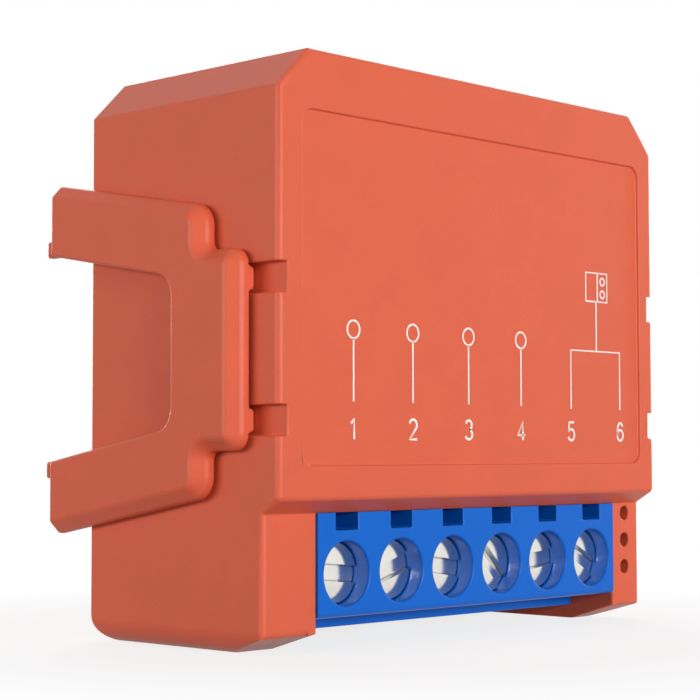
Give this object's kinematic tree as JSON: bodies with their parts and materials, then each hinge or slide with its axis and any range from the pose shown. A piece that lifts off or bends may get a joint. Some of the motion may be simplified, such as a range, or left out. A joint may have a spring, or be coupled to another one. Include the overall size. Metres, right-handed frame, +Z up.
{
  "type": "garage door controller",
  "caption": "Flush-box garage door control module: thick orange box with a screw terminal strip along its low front edge and a splayed clip on its side.",
  "frame": {"origin": "centre of the case's flat back face", "axes": "+Z up; the panel and the terminals face -Y; +X to the right seen from the front"},
  "size_m": [0.0396, 0.0214, 0.0366],
  "materials": {
    "orange_plastic": "fine satin moulding grain",
    "blue_plastic": "satin moulded polyamide",
    "screw_steel": "nickel plated and turned",
    "cage_brass": "plain stamped brass",
    "tinned_copper": "tin plated",
    "board_laminate": "green solder resist",
    "relay_plastic": "moulded black",
    "bobbin_plastic": "moulded glass filled",
    "magnet_steel": "zinc plated",
    "copper_wire": "enamelled copper",
    "winding_tape": "wrapped film tape",
    "ferrite": "sintered ferrite",
    "can_sleeve": "shrunk sleeve",
    "disc_epoxy": "dipped epoxy",
    "resistor_coat": "cement coat",
    "chip_plastic": "moulded epoxy",
    "shield_metal": "tin plated sheet",
    "button_plastic": "moulded white",
    "clear_plastic": "clear moulding",
    "light_white": "clear resin on a white base"
  },
  "bodies": {
    "case": {"case_shell": "orange_plastic", "back_cover": "orange_plastic", "terminal_strip": "blue_plastic", "contact_bar_1": "tinned_copper", "contact_bar_2": "tinned_copper", "contact_bar_3": "tinned_copper", "contact_bar_4": "tinned_copper", "contact_bar_5": "tinned_copper", "contact_bar_6": "tinned_copper", "relay_fixed_contact": "tinned_copper", "circuit_board": "board_laminate", "radio_board": "board_laminate", "relay_base": "relay_plastic", "relay_cover": "relay_plastic", "relay_bobbin": "bobbin_plastic", "transformer_bobbin": "bobbin_plastic", "radio_header": "bobbin_plastic", "switch_body": "bobbin_plastic", "relay_yoke": "magnet_steel", "relay_core": "magnet_steel", "relay_coil": "copper_wire", "transformer_winding": "winding_tape", "transformer_core": "ferrite", "input_capacitor": "can_sleeve", "output_capacitor": "can_sleeve", "surge_disc": "disc_epoxy", "fusible_resistor": "resistor_coat", "bridge_rectifier": "chip_plastic", "power_converter": "chip_plastic", "sensor_coupler": "chip_plastic", "surface_parts": "chip_plastic", "radio_chip": "chip_plastic", "radio_shield": "shield_metal", "light_guides": "clear_plastic", "status_lights": "light_white"},
    "clip": {"side_clip": "orange_plastic"},
    "armature": {"relay_armature": "magnet_steel", "relay_moving_contact": "tinned_copper"},
    "button": {"switch_stem": "button_plastic", "pairing_plunger": "button_plastic"},
    "screw_1": {"terminal_screw_1": "screw_steel"},
    "cage_1": {"clamp_cage_1": "cage_brass"},
    "screw_2": {"terminal_screw_2": "screw_steel"},
    "cage_2": {"clamp_cage_2": "cage_brass"},
    "screw_3": {"terminal_screw_3": "screw_steel"},
    "cage_3": {"clamp_cage_3": "cage_brass"},
    "screw_4": {"terminal_screw_4": "screw_steel"},
    "cage_4": {"clamp_cage_4": "cage_brass"},
    "screw_5": {"terminal_screw_5": "screw_steel"},
    "cage_5": {"clamp_cage_5": "cage_brass"},
    "screw_6": {"terminal_screw_6": "screw_steel"},
    "cage_6": {"clamp_cage_6": "cage_brass"}
  },
  "joints": [
    {"name": "clip_slide", "type": "slide", "parent": "case", "child": "clip", "axis": [0, -1, 0], "range_m": [0, 0.0065]},
    {"name": "relay_rock", "type": "hinge", "parent": "case", "child": "armature", "pos_m": [-0.01336, -0.0143, 0.01155], "axis": [1, 0, 0], "range_deg": [0, 2.5], "stiffness_Nm_per_rad": 0.002, "springref_deg": -5.73},
    {"name": "pairing_press", "type": "slide", "parent": "case", "child": "button", "axis": [0, 1, 0], "range_m": [0, 0.00025], "stiffness_N_per_m": 400, "springref_m": -0.0005},
    {"name": "screw_turn_1", "type": "hinge", "parent": "case", "child": "screw_1", "pos_m": [-0.01191, -0.01536, -0.01363], "axis": [0, 1, 0], "range_deg": [0, 1600.1]},
    {"name": "cage_rise_1", "type": "slide", "parent": "case", "child": "cage_1", "axis": [0, -1, 0], "range_m": [0, 0.002]},
    {"name": "screw_turn_2", "type": "hinge", "parent": "case", "child": "screw_2", "pos_m": [-0.0069, -0.01536, -0.01363], "axis": [0, 1, 0], "range_deg": [0, 1600.1]},
    {"name": "cage_rise_2", "type": "slide", "parent": "case", "child": "cage_2", "axis": [0, -1, 0], "range_m": [0, 0.002]},
    {"name": "screw_turn_3", "type": "hinge", "parent": "case", "child": "screw_3", "pos_m": [-0.00191, -0.01536, -0.01363], "axis": [0, 1, 0], "range_deg": [0, 1600.1]},
    {"name": "cage_rise_3", "type": "slide", "parent": "case", "child": "cage_3", "axis": [0, -1, 0], "range_m": [0, 0.002]},
    {"name": "screw_turn_4", "type": "hinge", "parent": "case", "child": "screw_4", "pos_m": [0.0031, -0.01536, -0.01363], "axis": [0, 1, 0], "range_deg": [0, 1600.1]},
    {"name": "cage_rise_4", "type": "slide", "parent": "case", "child": "cage_4", "axis": [0, -1, 0], "range_m": [0, 0.002]},
    {"name": "screw_turn_5", "type": "hinge", "parent": "case", "child": "screw_5", "pos_m": [0.00809, -0.01536, -0.01363], "axis": [0, 1, 0], "range_deg": [0, 1600.1]},
    {"name": "cage_rise_5", "type": "slide", "parent": "case", "child": "cage_5", "axis": [0, -1, 0], "range_m": [0, 0.002]},
    {"name": "screw_turn_6", "type": "hinge", "parent": "case", "child": "screw_6", "pos_m": [0.0131, -0.01536, -0.01363], "axis": [0, 1, 0], "range_deg": [0, 1600.1]},
    {"name": "cage_rise_6", "type": "slide", "parent": "case", "child": "cage_6", "axis": [0, -1, 0], "range_m": [0, 0.002]}
  ],
  "couplings": [
    {"joint": "screw_turn_1", "follows": "cage_rise_1", "rad_per_m": 13963},
    {"joint": "screw_turn_2", "follows": "cage_rise_2", "rad_per_m": 13963},
    {"joint": "screw_turn_3", "follows": "cage_rise_3", "rad_per_m": 13963},
    {"joint": "screw_turn_4", "follows": "cage_rise_4", "rad_per_m": 13963},
    {"joint": "screw_turn_5", "follows": "cage_rise_5", "rad_per_m": 13963},
    {"joint": "screw_turn_6", "follows": "cage_rise_6", "rad_per_m": 13963}
  ]
}
